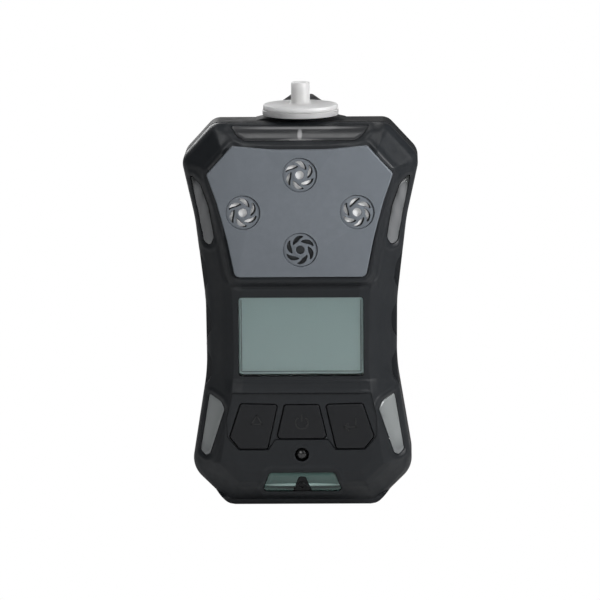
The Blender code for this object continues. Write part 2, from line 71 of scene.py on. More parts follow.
# sensor cover and its grilles
PANEL = [(9, 122.1, 60), (22.5, 123.4, 1.2), (31.1, 114, 1.2), (27.9, 104.9, 40), (24.5, 92.2, 40),
         (21.9, 79.3, 2)]
PANEL_FRONT = -20.75
GRILLE_CENTRES = {"top": (0, 113.7), "left": (-19.05, 101.15), "right": (19.05, 101.15), "bottom": (0, 88.5)}
GRILLE_TURN = {"top": 1, "left": 1, "right": -1, "bottom": -1}
GRILLE_RADIUS, GRILLE_BORE = 5.75, 1.45
GRILLE_FRONT, GRILLE_BACK, HUB_FRONT = -20.4, -19.8, -20.5
MEMBRANE_FRONT = {"top": -19.6, "left": -19.6, "right": -19.6, "bottom": -19.15}
# a grille's swept slots: how many, inner radius, length, sweep and half widths in degrees
SLOTS, SLOT_START, SLOT_LENGTH, SLOT_SWEEP, SLOT_HALF_WIDTHS = 6, 2.65, 2.2, 44, (23, 16)
SLOT_FIRST = {1: 15.5, -1: 48}  # angle of the first slot for each turn
SLOT_RAKE = (-0.7, 0.2)  # how far a slot's back is shifted sideways and up
SLOT_LEVELS = ((-23, 0), (-20.33, 0), (-19.7, 1), (-18, 1))  # y, and the share of the rake there

# alarm windows
WINDOW_NAMES = ("top", "bottom", "upper_left", "upper_right", "lower_left", "lower_right")
WINDOWS = {
    "top": [(18.6, 124.6, 3), (21, 126.2, 1.5), (23.4, 129, 0.5)],
    "bottom": [(10.9, 12.4, 1.2), (13.6, 5.2, 1.4)],
    "upper": [(36.8, 112.7, 0.5), (33.4, 109.8, 3), (30.8, 102.4, 12), (29, 92.2, 2), (30.3, 89.1, 1.2),
              (32.5, 90.2, 1.5), (36.4, 110.5, 3)],
    "lower": [(31.2, 38.2, 0.5), (27.2, 36.3, 1.2), (26, 34, 1.5), (31.1, 18.4, 1.5), (32.6, 17.4, 1),
              (34.4, 18.9, 1.2), (33.1, 26.5, 12)],
}
WINDOW_Y = (-24, -7.4)
BOSS = [(3.1, 5.1, 0.4), (1, 10.9, 0.8)]
# painted glow, highlight and shade patches: x, z, half width and half height, listed twice where stronger
LOWER_GLOW = [(29.3, 36.5, 4.2, 6), (31, 31, 4.2, 7), (32.6, 25.5, 3.6, 6)]
UPPER_GLOW = [(31, 93.5, 2, 7), (32.6, 100, 2, 7), (34.4, 106.5, 1.8, 6)]
# top window: a painted highlight line along its upper edge, painted glow below it and a painted pale post
TOP_GLOW = [(0, 128.1, 22, 0.4), (0, 123.4, 12, 2), (0, 123.4, 7, 1.6), (0, 123.2, 7, 1.2),
            (0, 126.3, 0.9, 2), (0, 126.3, 0.9, 2)]
# bottom window: a painted highlight along its rib, and painted shade in the groove below it
BOTTOM_GLOW = [(0, 8, 14, 0.75), (0, 8, 14, 0.6)]
BOTTOM_SHADE = [(0, 6.7, 16, 0.7), (0, 6.7, 16, 0.7)]

# display, keys and buzzer port
LENS_HALF_WIDTH, LENS_Z, LENS_CORNER, LENS_FRONT, LENS_BACK = 20.9, (45.5, 72), 1, -19.05, -17.9
LCD_Y = (-17.55, -15.5)
KEY_NAMES = ("left", "power", "right")
OUTER_KEY = [(8.2, 35.7, 0.8), (20.5, 36, 0.8), (24.2, 24.8, 1.2), (20.9, 20.7, 1.2), (11.6, 20.7, 0.8)]
POWER_KEY = [(5.7, 35.6, 0.8), (8.4, 24.2, 1.2)]
KEY_FRONT, KEY_EDGE = -19.75, 0.35
KEY_BACK = [(-16.1, 0), (-16.1, -0.7), (-15, -0.7), (-15, 3.2), (-13.6, 3.2)]  # flange and stem: y and inset
MARK_WIDTH = 0.4
KEYPAD = [(23.4, 39.8, 0.6), (25.4, 31, 3), (25.2, 24.6, 1.2), (21.3, 20.2, 1.2), (11.2, 20.2, 0.8),
          (8.9, 23.7, 0.8)]
KEYPAD_FLOOR = -19.35
PORT_Z, PORT_RADIUS = 18.7, 2.4

# back and top
REAR_CAVITY = [(-4, 2.3), (8.6, 2.3), (12.4, 4.6), (13.7, 7)]  # y and inset
INLET_Y = 3.5
CONTACT_HALF_WIDTH, CONTACT_Z, CONTACTS = 9, (16, 22), {"left": -4.5, "right": 4.5}
GROOVES, GROOVE_LOW_Z, GROOVE_PITCH = 9, 32, 5  # finger grooves on each side of the back
HOUSING_SCREWS = {"lower_left": (-28, 15), "lower_right": (28, 15), "upper_left": (-30, 116),
                  "upper_right": (30, 116)}

# belt clip
CLIP_SCREWS = {"lower": 97, "upper": 116.5}
CLIP_PIN, PIN_HOLE_RADIUS = (19.9, 108), 1.3  # y and z of the pin
# the lever's middle line seen from the side, as y and z from the thumb end down to the hooked tip
LEVER_LINE = [(26.2, 136), (26.15, 127), (25, 118), (23.2, 108), (22.5, 92), (22.1, 77.6), (19.25, 67.4),
              (17.2, 64.2)]
LEVER_OUTLINE = [(6.2, 63, 2.5), (8.3, 92, 20), (8.3, 132, 1.5), (3.6, 135.3, 1.2)]
GRIP_GROOVES, GRIP_LOW_Z, GRIP_PITCH = 9, 125.5, 1.2

# camera and lights: a light is a name, a place, a size and a power in watts
CAMERA_TARGET, CAMERA_DISTANCE, CAMERA_LENS = (-0.55, -5, 69), 1500, 266.3
CAMERA_ANGLES = (9.5, 1.3, -0.5)  # elevation, azimuth and roll in degrees
AIR_STRENGTH = 0.12
LIGHTS = [("key_light", (210, -130, 195), 60, 0.62), ("fill_light", (-250, -600, 300), 300, 0.95),
          ("top_light", (0, -60, 500), 200, 0.45), ("rear_light", (-300, 700, 400), 400, 2.5)]


# ---- outlines, as in the CAD source ----

def mirrored(half):
    """A closed outline from its right half."""
    return half + [(-x, z, r) for x, z, r in reversed(half)]


def flipped(corners):
    """The left-hand copy of an outline."""
    return [(-x, z, r) for x, z, r in reversed(corners)]


def inset(corners, distance):
    """The outline with every side moved inwards by the distance, or outwards if it is negative."""
    area = sum(a[0] * b[1] - b[0] * a[1] for a, b in zip(corners, corners[1:] + corners[:1]))
    inward = distance if area > 0 else -distance
    moved = []
    for i, (x, z, radius) in enumerate(corners):
        before, after = corners[i - 1], corners[(i + 1) % len(corners)]
        first = Vector((x - before[0], z - before[1])).normalized()
        second = Vector((after[0] - x, after[1] - z)).normalized()
        normal = Vector((-first.y - second.y, first.x + second.x)).normalized()
        reach = inward / max(0.2, normal.dot(Vector((-first.y, first.x))))
        convex = (first.x * second.y - first.y * second.x) * area > 0
        moved.append((x + normal.x * reach, z + normal.y * reach,
                      max(0.15, radius - distance if convex else radius + distance)))
    return moved


def rounded(corners, steps=CORNER_STEPS):
    """Points along the outline, with an arc at each corner no longer than its sides allow."""
    points = []
    for i, (x, z, radius) in enumerate(corners):
        here = Vector((x, z))
        before = Vector(corners[i - 1][:2]) - here
        after = Vector(corners[(i + 1) % len(corners)][:2]) - here
        half_angle = before.angle(after) / 2
        reach = min(radius / math.tan(half_angle), 0.48 * before.length, 0.48 * after.length)
        radius = reach * math.tan(half_angle)
        halfway = (before.normalized() + after.normalized()).normalized()
        middle = here + halfway * radius / math.sin(half_angle)
        start = here + before.normalized() * reach - middle
        end = here + after.normalized() * reach - middle
        span = start.angle_signed(end)
        for step in range(steps + 1):
            spoke = start.copy()
            spoke.rotate(Matrix.Rotation(-span * step / steps, 2))
            points.append(tuple(middle + spoke))
    return points


def circle(radius, steps=64, x=0.0, z=0.0):
    return [(x + radius * math.cos(2 * math.pi * i / steps), z + radius * math.sin(2 * math.pi * i / steps))
            for i in range(steps)]


def window_outline(name):
    """Outline of a window by piece name: top, bottom, upper_left and so on."""
    kind, _, side = name.partition("_")
    if not side:
        return mirrored(WINDOWS[kind])
    return WINDOWS[kind] if side == "right" else flipped(WINDOWS[kind])


def key_outline(name):
    return {"left": flipped(OUTER_KEY), "power": mirrored(POWER_KEY), "right": OUTER_KEY}[name]


def lens_outline(margin=0.0):
    half, low, high = LENS_HALF_WIDTH + margin, LENS_Z[0] - margin, LENS_Z[1] + margin
    corner = max(0.5, LENS_CORNER + margin)
    return mirrored([(half, low, corner), (half, high, corner)])


# ---- meshes ----

def make_piece(name, points, faces, material=None, smooth_angle=35):
    """A mesh object from points in millimetres, smooth except where faces meet at more than the angle."""
    mesh = bpy.data.meshes.new(name)
    mesh.from_pydata((np.asarray(points, float) * MM).tolist(), [], faces)
    work = bmesh.new()
    work.from_mesh(mesh)
    bmesh.ops.recalc_face_normals(work, faces=work.faces)
    work.to_mesh(mesh)
    work.free()
    made = bpy.data.objects.new(name, mesh)
    bpy.context.scene.collection.objects.link(made)
    if material:
        mesh.materials.append(material)
    smooth(made, smooth_angle)
    return made


def smooth(piece, angle=35):
    piece.data.shade_smooth()
    piece.data.set_sharp_from_angle(angle=math.radians(angle))


def bands(numbers):
    """Faces between neighbouring rings of point numbers."""
    return [face for here, there in zip(numbers, numbers[1:])
            for face in zip(here, here[1:] + here[:1], there[1:] + there[:1], there)]


def skin(name, rings, material=None, ends=True, smooth_angle=35):
    """A solid through rings of points with the same count, capped at both ends or joined end to end."""
    count = len(rings[0])
    numbers = [list(range(row * count, (row + 1) * count)) for row in range(len(rings))]
    faces = bands(numbers if ends else numbers + numbers[:1])
    if ends:
        faces += [tuple(numbers[0]), tuple(numbers[-1])]
    return make_piece(name, [p for ring in rings for p in ring], faces, material, smooth_angle)


def loft(name, corners, levels, material=None, steps=CORNER_STEPS, smooth_angle=35):
    """The outline drawn along Y, pulled in by the given amount at each (y, inset) level."""
    rings = [[(x, y, z) for x, z in rounded(inset(corners, amount) if amount else corners, steps)]
             for y, amount in levels]
    return skin(name, rings, material, smooth_angle=smooth_angle)


def prism(name, corners, y_range, material=None, steps=CORNER_STEPS):
    return loft(name, corners, [(y_range[0], 0), (y_range[1], 0)], material, steps)


def front_edge(y, radius, steps=5):
    """The levels of a rounded front edge that starts at y."""
    turns = [math.radians(90 * i / steps) for i in range(steps + 1)]
    return [(y + radius * (1 - math.sin(a)), radius * (1 - math.cos(a))) for a in reversed(turns)]


def soft_prism(name, corners, y_front, y_back, edge, material=None, steps=CORNER_STEPS):
    """A prism whose front edge is rounded by the given radius."""
    levels = front_edge(y_front, edge) + [(y_back, 0)]
    return loft(name, corners, levels, material, steps, smooth_angle=50)


def turned(name, profile, place, axis, material=None, steps=72, bored=False, smooth_angle=35):
    """A round piece from (radius, height) points about an axis through place."""
    across = {"X": (1, 2, 0), "Y": (0, 2, 1), "Z": (0, 1, 2)}[axis]
    rings = []
    for radius, height in profile:
        ring = []
        for u, v in circle(radius, steps):
            point = list(place)
            for part, amount in zip(across, (u, v, height)):
                point[part] += amount
            ring.append(tuple(point))
        rings.append(ring)
    return skin(name, rings, material, ends=not bored, smooth_angle=smooth_angle)


def sweep(name, path, radius, bore=0.0, material=None, steps=20):
    """A round bar along a path of points, hollow if it has a bore."""
    path = [Vector(p) for p in path]
    side = Vector((0, 0, 1)).cross(path[1] - path[0])
    side = (side if side.length > 0.01 else Vector((1, 0, 0))).normalized()
    outer, inner = [], []
    for i, point in enumerate(path):
        along = (path[min(i + 1, len(path) - 1)] - path[max(i - 1, 0)]).normalized()
        side = (side - along * side.dot(along)).normalized()
        up = along.cross(side)
        outer.append([tuple(point + side * a + up * b) for a, b in circle(radius, steps)])
        if bore:
            inner.append([tuple(point + side * a + up * b) for a, b in circle(bore, steps)])
    return skin(name, outer + inner[::-1], material, ends=not bore)


def rod(name, radius, start, end, material=None, steps=32):
    return sweep(name, [start, end], radius, 0, material, steps)


def carve(piece, tools, operation="DIFFERENCE", smooth_angle=35, shade_lining=False):
    """Cuts the tools from the piece, or keeps or joins what they share, then drops the tools.

    With shade lining, the cut faces take the tools' material, a dark one that paints shade on the cut walls."""
    group = bpy.data.collections.new("tools")
    for tool in tools:
        group.objects.link(tool)
    modifier = piece.modifiers.new("carve", "BOOLEAN")
    modifier.operation = operation
    modifier.solver = "EXACT"
    modifier.material_mode = "TRANSFER" if shade_lining else "INDEX"
    modifier.operand_type = "COLLECTION"
    modifier.collection = group
    bpy.context.view_layer.update()
    evaluated = piece.evaluated_get(bpy.context.evaluated_depsgraph_get())
    mesh = bpy.data.meshes.new_from_object(evaluated)
    piece.modifiers.remove(modifier)
    piece.data = mesh
    for tool in tools:
        bpy.data.objects.remove(tool)
    bpy.data.collections.remove(group)
    smooth(piece, smooth_angle)


def block(name, x_range, y_range, z_range, material=None, corner=0.4, edge=0.25):
    """A box with rounded edges."""
    (x0, x1), (y0, y1), (z0, z1) = x_range, y_range, z_range
    corners = [(x0, z0, corner), (x1, z0, corner), (x1, z1, corner), (x0, z1, corner)]
    front = front_edge(y0, edge, 3)
    back = [(y0 + y1 - y, amount) for y, amount in reversed(front)]
    return loft(name, corners, front + back, material, steps=4)


# ---- the front's height field ----

def ease(start, end, value):
    """0 below start, 1 above end, and a smooth turn between."""
    t = np.clip((value - start) / (end - start), 0, 1)
    return t * t * (3 - 2 * t)


def inside_distance(outline, x, z):
    """Distance in from a closed outline's edge at every point, negative outside it."""
    points = np.array(outline)
    nearest = np.full(x.shape, 1e9)
    inside = np.zeros(x.shape, bool)
    for (ax, az), (bx, bz) in zip(points, np.roll(points, -1, axis=0)):
        ex, ez = bx - ax, bz - az
        length = ex * ex + ez * ez
        if length < 1e-12:
            continue
        t = np.clip(((x - ax) * ex + (z - az) * ez) / length, 0, 1)
        nearest = np.minimum(nearest, (x - ax - t * ex) ** 2 + (z - az - t * ez) ** 2)
        crosses = (az > z) != (bz > z)
        if ez:
            inside ^= crosses & (x < ax + ex * (z - az) / ez)
    return np.where(inside, 1, -1) * np.sqrt(nearest)


def plain_height(x, z):
    """How far the bare front stands in front of Y = 0."""
    edge = inside_distance(rounded(mirrored(HOUSING), 6), x, z)
    distances, heights = zip(*FRONT_SLOPE)
    fine = np.linspace(0, distances[-1], 120)
    level = np.interp(fine, distances, heights)
    kernel = np.hanning(9)
    level = np.convolve(np.pad(level, 4, mode="edge"), kernel / kernel.sum(), "valid")
    level[0] = heights[0]
    return np.interp(edge, fine, level), edge


def ridge(place, middle, width):
    """A rounded ridge of height 1 along the middle."""
    return np.exp(-((place - middle) / width) ** 2)


def shaped_ends(height, edge, x, z, base):
    """The height with its edge brought forward at the base and set back at the top."""
    height = np.maximum(height, base * (1 - ease(2, 9, z)))
    return height - 3 * ridge(np.maximum(edge, 0), 0, 2) * ease(126, 128.5, z) * (1 - ease(24, 29, np.abs(x)))


def front_height(x, z):
    """The armoured front with its lip, display valley, sloping band and softened cut-outs."""
    height, edge = plain_height(x, z)
    panel = inside_distance(rounded(mirrored(PANEL), 6), x, z)
    face = ease(2.5, 7, edge)
    height = shaped_ends(height, edge, x, z, 11.4)
    # a raised lip follows the sensor cover, with a groove outside it lower down
    height += 0.7 * ridge(panel, -1.3, 0.9) * face
    height -= 0.5 * ridge(panel, -3.5, 0.7) * face * (1 - ease(104, 112, z))
    # the display lies in a valley that rises to the keys by a sloping band
    across = 1 - ease(22.6, 27, np.abs(x))
    height -= np.interp(z, (39.7, 43.7, 44.1, 75.6, 77.4), (0, 0.75, 0.95, 0.95, 0)) * across
    brow = 1 - ease(22, 22.8, np.abs(x))
    height += (0.16 * ridge(z, 43.8, 0.4) + 0.2 * ridge(z, 40.2, 0.4)) * brow
    # each window and the buzzer's port lie in a softened rim
    for name in WINDOW_NAMES:
        window = inside_distance(rounded(window_outline(name), 4), x, z)
        height -= 0.4 * ridge(np.minimum(window, 0), 0, 0.6)
        height += 0.3 * ridge(window, -1.6, 0.7) * ease(0.6, 2, edge)
    port = np.hypot(x, z - PORT_Z) - PORT_RADIUS
    height += 0.2 * ridge(port, 0.6, 0.4)
    return height


def spread(length, end_length, end_step, middle_step):
    """Positions from 0 to length, closer together near both ends."""
    ends = np.arange(0, end_length, end_step)
    middle = np.linspace(end_length, length - end_length, round((length - 2 * end_length) / middle_step))
    return np.concatenate([ends, middle, length - ends[::-1]])


def half_width(z, scalloped):
    """The outline's half width at height z, less the finger scallops."""
    right = [p for p in rounded(mirrored(HOUSING), 24) if p[0] > 0]
    right.sort(key=lambda p: p[1])
    xs, zs = np.array(right).T
    width = np.interp(z, zs, xs)
    if scalloped:
        for middle in SCALLOPS:
            width -= 1.9 * np.exp(-(np.abs(z - middle) / 5.2) ** 4)
    return width


def front_block(name, height_of, fineness, scalloped, back_y, material=None):
    """A closed solid whose front is a height field over the outline; scallops stop short of its back."""
    z = spread(TALL, 10, 0.28 * fineness, 0.34 * fineness)
    share = spread(2, 0.26, 0.0085 * fineness, 0.0115 * fineness) - 1
    grid_z = np.repeat(z[:, None], len(share), 1)
    grid_x = half_width(z, scalloped)[:, None] * share[None, :]
    heights = height_of(grid_x, grid_z)
    rows, columns = grid_x.shape
    front = np.stack([grid_x, -heights, grid_z], -1).reshape(-1, 3)
    rim = ([(0, c) for c in range(columns)] + [(r, columns - 1) for r in range(1, rows)]
           + [(rows - 1, c) for c in range(columns - 2, -1, -1)] + [(r, 0) for r in range(rows - 2, 0, -1)])
    rim_index = [r * columns + c for r, c in rim]
    plain_x = (half_width(z, False)[:, None] * share[None, :]).reshape(-1)[rim_index]
    lower = front[rim_index].copy()
    lower[:, 1] = np.maximum(lower[:, 1] + 0.1, SCALLOP_BACK_Y)
    shelf = lower + (0, 0.1, 0)
    back = shelf.copy()
    back[:, 1] = back_y
    shelf[:, 0] = back[:, 0] = plain_x
    index = np.arange(rows * columns).reshape(rows, columns)
    quads = np.stack([index[:-1, :-1], index[:-1, 1:], index[1:, 1:], index[1:, :-1]], -1).reshape(-1, 4)
    faces = quads[:, [0, 1, 2]].tolist() + quads[:, [0, 2, 3]].tolist()
    base, count = rows * columns, len(rim_index)
    rings = [rim_index] + [list(range(base + k * count, base + (k + 1) * count)) for k in range(3)]
    faces += bands(rings) + [tuple(rings[-1])]
    return make_piece(name, np.concatenate([front, lower, shelf, back]), faces, material)


# ---- materials ----

class Surface:
    """A procedural material on the Principled shader, built up one property at a time."""

    def __init__(self, name, colour, roughness, **sockets):
        self.material = bpy.data.materials.new(name)
        self.material.use_nodes = True
        self.tree = self.material.node_tree
        self.shader = self.tree.nodes["Principled BSDF"]
        self.colour, self.roughness = colour, roughness
        self.shader.inputs["Base Color"].default_value = (*colour, 1)
        self.shader.inputs["Roughness"].default_value = roughness
        for socket, value in sockets.items():
            self.shader.inputs[socket.replace("_", " ")].default_value = value
        self.place = self.tree.nodes.new("ShaderNodeTexCoord").outputs["Object"]

    def feed(self, socket, value):
        """Links the value to the socket if it is a node's output, or else sets it."""
        if isinstance(value, bpy.types.NodeSocket):
            self.tree.links.new(value, socket)
        else:
            socket.default_value = value

    def node(self, kind, inputs=(), **settings):
        made = self.tree.nodes.new("ShaderNode" + kind)
        for setting, value in settings.items():
            setattr(made, setting, value)
        for socket, value in dict(inputs).items():
            self.feed(made.inputs[socket], value)
        return made

    def maths(self, operation, first, second):
        return self.node("Math", {0: first, 1: second}, operation=operation).outputs[0]

    def noise(self, size, detail=4.0, rough=0.55):
        """Noise with features about size millimetres across."""
        return self.node("TexNoise", {"Vector": self.place, "Scale": 1000 / size, "Detail": detail,
                                      "Roughness": rough}).outputs["Fac"]

    def between(self, factor, low, high, start=0.0, end=1.0):
        """The factor mapped from start..end to low..high."""
        return self.node("MapRange", {"Value": factor, "From Min": start, "From Max": end,
                                      "To Min": low, "To Max": high}).outputs["Result"]

    def mix(self, factor, first, second):
        """The two colours mixed; a colour mix's own sockets are numbers 6 and 7, and output 2."""
        return self.node("Mix", {"Factor": factor, 6: first, 7: second}, data_type="RGBA").outputs[2]

    def tint(self, colour):
        self.tinted = colour
        self.feed(self.shader.inputs["Base Color"], colour)
        return self

    def mottled(self, amount, size=9.0):
        """Uneven colour and roughness over the surface."""
        dark = tuple(c * (1 - amount) for c in self.colour) + (1,)
        light = tuple(min(1, c * (1 + amount)) for c in self.colour) + (1,)
        self.tint(self.mix(self.noise(size), dark, light))
        spots = self.between(self.noise(size * 0.35), self.roughness * 0.85, min(1, self.roughness * 1.18),
                             0.3, 0.7)
        self.feed(self.shader.inputs["Roughness"], spots)
        return self

    def graded(self, upper, low, high):
        """Fades to another colour between two heights in millimetres, with slight blotches; on the windows
        this is painted shade darkening them upwards.
        """
        height = self.node("SeparateXYZ", {"Vector": self.place}).outputs["Z"]
        uneven = self.maths("ADD", height, self.between(self.noise(5.0), -3 * MM, 3 * MM))
        share = self.between(uneven, 0, 1, low * MM, high * MM)
        return self.tint(self.mix(share, (*self.colour, 1), (*upper, 1)))

    def patched(self, patches, colour):
        """Soft-edged patches of another colour, each (x, z, half width, half height) in millimetres, for
        painted glow, highlight and shade.
        """
        parts = self.node("SeparateXYZ", {"Vector": self.place}).outputs
        for x, z, half_width, half_height in patches:
            squares = []
            for part, middle, half in ((parts["X"], x, half_width), (parts["Z"], z, half_height)):
                share = self.maths("DIVIDE", self.maths("SUBTRACT", part, middle * MM), half * MM)
                squares.append(self.maths("MULTIPLY", share, share))
            apart = self.maths("ADD", *squares)
            self.tint(self.mix(self.between(apart, 1, 0), self.tinted, (*colour, 1)))
        return self

    def wear_and_edge_sheen(self, amount, lighter):
        """Edges rubbed lighter by wear, which also paints a highlight along them."""
        pointed = self.node("NewGeometry").outputs["Pointiness"]
        edge = self.between(pointed, 0, amount, 0.51, 0.58)
        broken = self.maths("MULTIPLY", edge, self.noise(2.2))
        return self.tint(self.mix(broken, self.tinted, (*lighter, 1)))

    def grained(self, size, depth, strength=1.0):
        """A raised grain: size and depth in millimetres."""
        bump = {"Height": self.noise(size, 3), "Distance": depth * MM, "Strength": strength}
        normal = self.node("Bump", bump).outputs["Normal"]
        self.feed(self.shader.inputs["Normal"], normal)
        return self


def both_sides(patches):
    """The patches on the left, then the same ones on the right."""
    return [(side * x, z, width, height) for side in (-1, 1) for x, z, width, height in patches]


def add_front_materials(add):
    add("armour_rubber", (0.0098, 0.0117, 0.0142), 0.46, Specular_IOR_Level=0.35) \
        .mottled(0.12).wear_and_edge_sheen(0.25, (0.04, 0.042, 0.046)).grained(0.35, 0.03, 0.4)
    add("black_plastic", (0.009, 0.0095, 0.0105), 0.62, Specular_IOR_Level=0.22) \
        .mottled(0.15).wear_and_edge_sheen(0.25, (0.03, 0.03, 0.033)).grained(0.3, 0.03, 0.4)
    add("glossy_black", (0.01, 0.01, 0.0105), 0.24, Specular_IOR_Level=0.7, Coat_Weight=0.15) \
        .mottled(0.1).grained(0.6, 0.01, 0.2)
    add("grey_plastic", (0.1365, 0.153, 0.173), 0.42, Specular_IOR_Level=0.35) \
        .mottled(0.04).wear_and_edge_sheen(0.3, (0.26, 0.28, 0.31)).grained(0.4, 0.03, 0.35)
    add("soft_rubber", (0.0066, 0.0074, 0.0092), 0.5, Specular_IOR_Level=0.35) \
        .mottled(0.12).wear_and_edge_sheen(0.25, (0.035, 0.035, 0.038)).grained(0.25, 0.02, 0.4)
    add("key_print", (0.0115, 0.012, 0.0125), 0.3, Specular_IOR_Level=0.5) \
        .mottled(0.1).grained(0.3, 0.01, 0.2)


def add_window_materials(add):
    # side windows: painted shade darkening them towards the top, and painted glow patches in place of light
    # through the plastic
    add("window_plastic", (0.16, 0.17, 0.175), 0.26, Coat_Weight=0.3) \
        .graded((0.02, 0.022, 0.022), 70, 112).patched(both_sides(LOWER_GLOW), (0.25, 0.266, 0.266)) \
        .patched(both_sides(UPPER_GLOW), (0.15, 0.154, 0.16)).grained(0.8, 0.01, 0.3)
    # the top window's patches are a painted highlight line, painted glow and a painted pale post
    add("top_window_plastic", (0.024, 0.025, 0.027), 0.34) \
        .mottled(0.08, 5).patched(TOP_GLOW, (0.26, 0.26, 0.265)).grained(0.8, 0.01, 0.3)
    # the bottom window carries a painted highlight line on its rib and painted shade in its groove
    add("bottom_window_plastic", (0.05, 0.095, 0.085), 0.2, Coat_Weight=0.4) \
        .mottled(0.08, 5).patched(BOTTOM_GLOW, (0.36, 0.5, 0.47)) \
        .patched(BOTTOM_SHADE, (0.004, 0.014, 0.012)).grained(0.8, 0.01, 0.3)
    add("display_plastic", (0.95, 0.98, 0.97), 0.08, Transmission_Weight=1.0, IOR=1.4).mottled(0.01)
    add("lcd_glass", (0.42, 0.53, 0.53), 0.4).mottled(0.04, 30).grained(0.3, 0.005, 0.3)
    add("lens_edge", (0.12, 0.15, 0.15), 0.3).mottled(0.1, 2).grained(0.3, 0.005, 0.3)


def add_filter_materials(add):
    add("dark_cloth", (0.02, 0.022, 0.024), 0.8).mottled(0.1, 0.8).grained(0.12, 0.03, 0.8)
    add("dark_membrane", (0.05, 0.055, 0.06), 0.35).mottled(0.15, 1.5).grained(0.5, 0.03, 0.5)
    add("white_plastic", (0.72, 0.72, 0.7), 0.4).mottled(0.04).grained(0.4, 0.02, 0.3)
    add("filter_plastic", (0.94, 0.925, 0.91), 0.42, Subsurface_Weight=1.0, Subsurface_Radius=(1, 1, 1),
        Subsurface_Scale=0.012).mottled(0.05, 4).grained(0.9, 0.02, 0.3)
    add("filter_cloth", (0.95, 0.95, 0.95), 0.85).mottled(0.05, 0.8).grained(0.12, 0.03, 0.8)
    add("clear_tube", (0.7, 0.71, 0.68), 0.2, Transmission_Weight=0.5).mottled(0.04, 5) \
        .grained(0.6, 0.01, 0.3)


def add_inner_materials(add):
    add("board_green", (0.015, 0.12, 0.05), 0.35).mottled(0.15, 2).grained(0.3, 0.02, 0.4)
    add("battery_wrap", (0.02, 0.06, 0.2), 0.38).mottled(0.08).grained(1.2, 0.04, 0.4)
    add("plated_steel", (0.52, 0.52, 0.53), 0.28, Metallic=1.0) \
        .mottled(0.07, 3).wear_and_edge_sheen(0.5, (0.68, 0.68, 0.69)).grained(0.5, 0.01, 0.3)
    add("dark_steel", (0.045, 0.045, 0.048), 0.42, Metallic=0.5) \
        .mottled(0.03, 7).wear_and_edge_sheen(0.7, (0.2, 0.2, 0.2)).grained(0.3, 0.015, 0.4)
    add("gold_contact", (0.78, 0.56, 0.2), 0.25, Metallic=1.0).mottled(0.06, 2).grained(0.3, 0.008, 0.3)


def make_materials():
    """Every material, by slot name."""
    made = {}

    def add(slot, colour, roughness, **sockets):
        surface = Surface(slot, colour, roughness, **sockets)
        made[slot] = surface.material
        return surface

    for add_group in (add_front_materials, add_window_materials, add_filter_materials, add_inner_materials):
        add_group(add)
    return made


# ---- pieces ----

def mend(piece):
    """Makes the mesh all triangles, free of the coinciding points, doubled slivers and pinholes of cuts."""
    work = bmesh.new()
    work.from_mesh(piece.data)
    bmesh.ops.remove_doubles(work, verts=work.verts, dist=MERGE_DISTANCE * MM)
    bmesh.ops.dissolve_degenerate(work, edges=work.edges, dist=MERGE_DISTANCE * MM)
    bmesh.ops.triangulate(work, faces=work.faces[:])
    work.verts.index_update()
    seen, doubled = {}, set()
    for face in work.faces:
        corners = frozenset(point.index for point in face.verts)
        if corners in seen:
            doubled |= {seen[corners], face}
        seen[corners] = face
    bmesh.ops.delete(work, geom=list(doubled), context="FACES")
    bmesh.ops.holes_fill(work, edges=[edge for edge in work.edges if edge.is_boundary], sides=0)
    work.to_mesh(piece.data)
    work.free()


def replace(piece, *nodes, body="housing"):
    """The piece stands for CAD nodes and rides on their body."""
    mend(piece)
    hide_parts(*nodes)
    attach(piece, body)


def keypad_groove():
    """The fine groove round the foot of the keypad's recess."""
    width, floor = 0.3, KEYPAD_FLOOR + 0.4
    levels = ((AHEAD_Y, 0), (floor, 0), (floor, width), (AHEAD_Y, width))
    rings = [[(x, y, z) for x, z in rounded(inset(mirrored(KEYPAD), amount))] for y, amount in levels]
    return skin("t", rings, ends=False)


def build_front_cover(look):
    cover = front_block("armour_front", front_height, 1.0, True, FRONT_BACK_Y, look["armour_rubber"])
    tools = [loft("t", mirrored(HOUSING), FRONT_CAVITY, steps=6),
             prism("t", mirrored(KEYPAD), (AHEAD_Y, KEYPAD_FLOOR)), keypad_groove(),
             prism("t", inset(mirrored(PANEL), -GAP), (AHEAD_Y, PANEL_SEAT_Y)),
             prism("t", lens_outline(GAP), (AHEAD_Y, LENS_SEAT_Y)),
             prism("t", lens_outline(-0.3), (-19.5, INSIDE_Y)),
             turned("t", [(PORT_RADIUS, AHEAD_Y), (PORT_RADIUS, INSIDE_Y)], (0, 0, PORT_Z), "Y")]
    sensor_hole = [(SENSOR_HOLE_RADIUS, -19), (SENSOR_HOLE_RADIUS, INSIDE_Y)]
    tools += [turned("t", sensor_hole, (x, 0, z), "Y") for x, z in GRILLE_CENTRES.values()]
    tools += [prism("t", inset(key_outline(k), -KEY_GAP), (AHEAD_Y, INSIDE_Y)) for k in KEY_NAMES]
    tools += [prism("t", inset(window_outline(w), -GAP), (AHEAD_Y, WINDOW_SEAT_Y)) for w in WINDOW_NAMES]
    for tool in tools:
        carve(cover, [tool])
    replace(cover, "front_cover")


